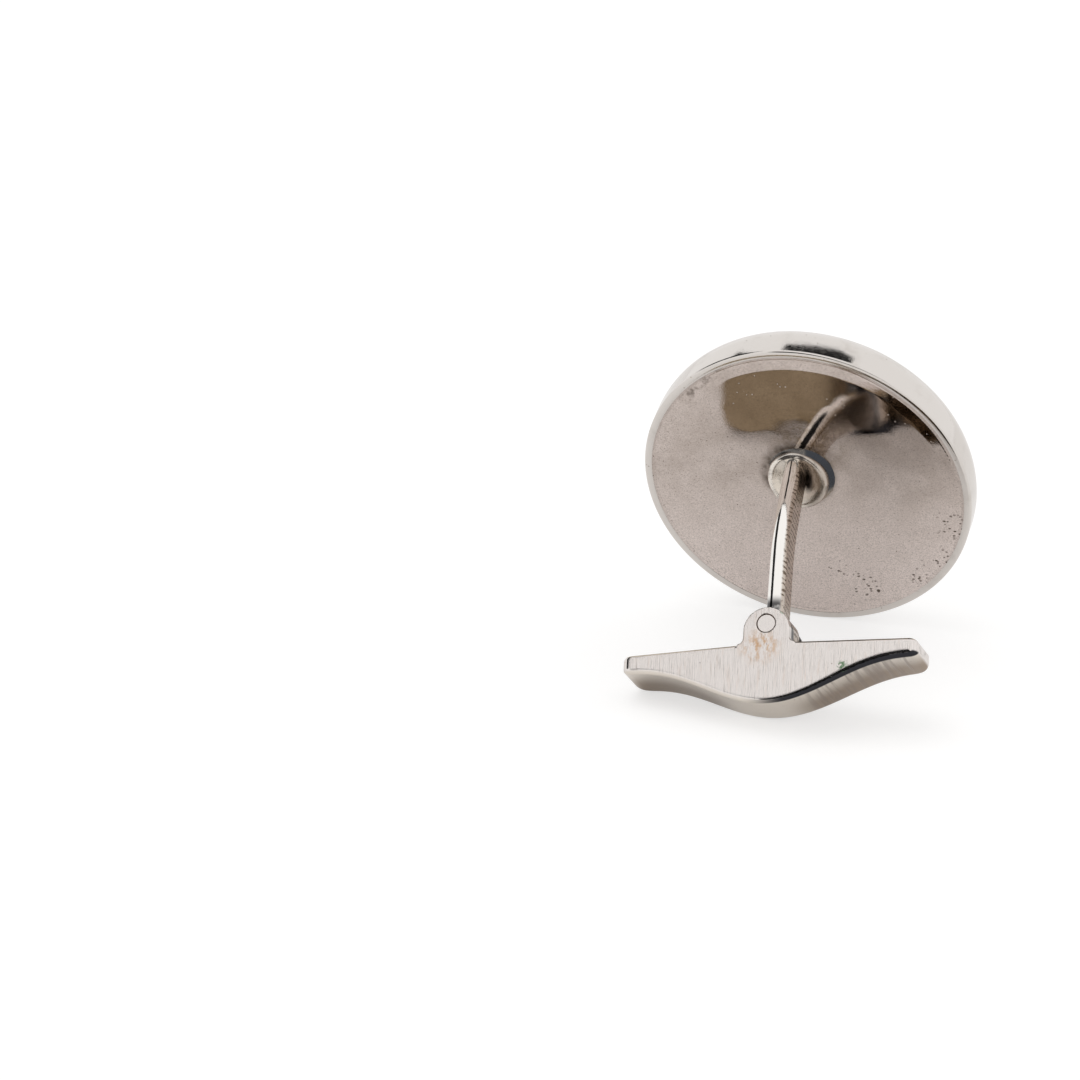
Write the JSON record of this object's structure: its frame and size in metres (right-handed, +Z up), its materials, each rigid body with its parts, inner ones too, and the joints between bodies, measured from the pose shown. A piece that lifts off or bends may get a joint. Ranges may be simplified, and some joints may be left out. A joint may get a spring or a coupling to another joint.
{
  "type": "cufflink",
  "caption": "Round silver cufflink with a domed hollow head, a curved soldered post and a forked toggle bar that swivels on a riveted pin.",
  "frame": {"origin": "middle of the footprint, on the table the cufflink lies on; the head's rim, the toggle's keel and one toggle tip touch the table", "axes": "+Z up from the table; +X along the toggle bar as seen from above, left to right seen from the back; +Y from the toggle towards the head"},
  "size_m": [0.0204, 0.0194, 0.0198],
  "materials": {
    "polished_silver": "polished sterling silver, lightly worn",
    "back_silver": "satin-polished silver with casting pits and grey-brown tarnish",
    "solder": "yellowish hard solder with dark tarnish at its edge",
    "post_silver": "polished silver with fine cross file marks on its sides",
    "brushed_silver": "silver, brushed across the bar, with polished edges",
    "pin_silver": "filed flush silver rivet with a tarnished outline"
  },
  "bodies": {
    "head": {"front_dome": "polished_silver", "back_plate": "back_silver", "rim_solder": "solder", "foot_collar": "polished_silver", "foot_solder": "solder", "post": "post_silver"},
    "toggle": {"toggle_bar": "brushed_silver", "hinge_pin": "pin_silver"}
  },
  "joints": [
    {"name": "toggle_swivel", "type": "hinge", "parent": "head", "child": "toggle", "pos_m": [0.0007, -0.00516, 0.00444], "axis": [-0.1107, -0.7148, 0.6905], "range_deg": [-93.7, 86.3]}
  ]
}
